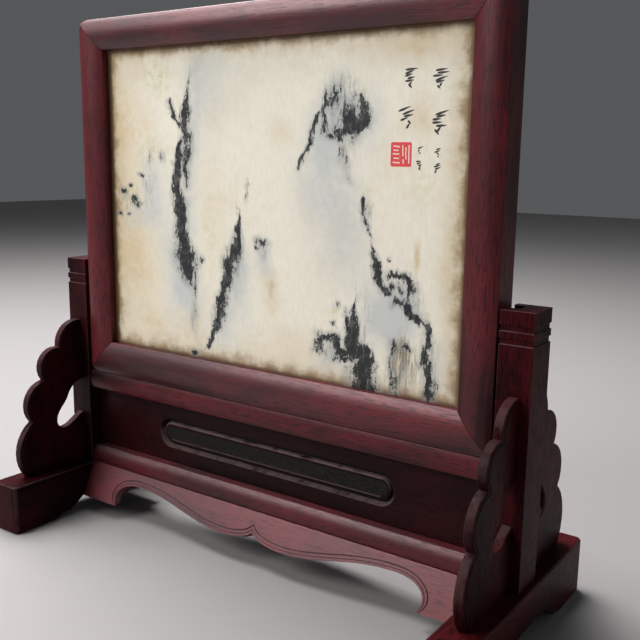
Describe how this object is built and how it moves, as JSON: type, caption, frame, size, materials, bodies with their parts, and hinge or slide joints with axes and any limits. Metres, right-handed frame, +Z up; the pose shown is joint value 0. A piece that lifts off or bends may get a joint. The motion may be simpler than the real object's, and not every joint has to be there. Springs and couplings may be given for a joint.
{
  "type": "marble table screen",
  "caption": "Chinese-style table screen: a veined marble slab in a mitred rosewood frame, standing between two posts with scalloped spandrels on long feet.",
  "frame": {"origin": "on the ground under the middle of the object", "axes": "+Z up, the front with the carved apron faces -Y, +X is to the right of someone who looks at the front"},
  "size_m": [0.3774, 0.165, 0.3605],
  "materials": {
    "marble_slab": "polished cream marble with grey and black veins",
    "frame_top_rail": "polished dark rosewood",
    "frame_bottom_rail": "polished dark rosewood",
    "frame_left_stile": "polished dark rosewood",
    "frame_right_stile": "polished dark rosewood",
    "left_post": "polished blackish rosewood",
    "right_post": "polished blackish rosewood",
    "left_foot": "polished dark rosewood",
    "right_foot": "polished dark rosewood",
    "front_left_spandrel": "polished blackish rosewood",
    "front_right_spandrel": "polished blackish rosewood",
    "rear_left_spandrel": "polished blackish rosewood",
    "rear_right_spandrel": "polished blackish rosewood",
    "upper_rail": "polished dark rosewood",
    "lower_rail": "polished dark rosewood",
    "waist_panel": "polished blackish rosewood",
    "front_apron": "polished dark rosewood",
    "rear_apron": "polished dark rosewood"
  },
  "bodies": {
    "root": {"marble_slab": "marble_slab", "frame_top_rail": "frame_top_rail", "frame_bottom_rail": "frame_bottom_rail", "frame_left_stile": "frame_left_stile", "frame_right_stile": "frame_right_stile", "left_post": "left_post", "right_post": "right_post", "left_foot": "left_foot", "right_foot": "right_foot", "front_left_spandrel": "front_left_spandrel", "front_right_spandrel": "front_right_spandrel", "rear_left_spandrel": "rear_left_spandrel", "rear_right_spandrel": "rear_right_spandrel", "upper_rail": "upper_rail", "lower_rail": "lower_rail", "waist_panel": "waist_panel", "front_apron": "front_apron", "rear_apron": "rear_apron"}
  },
  "joints": []
}
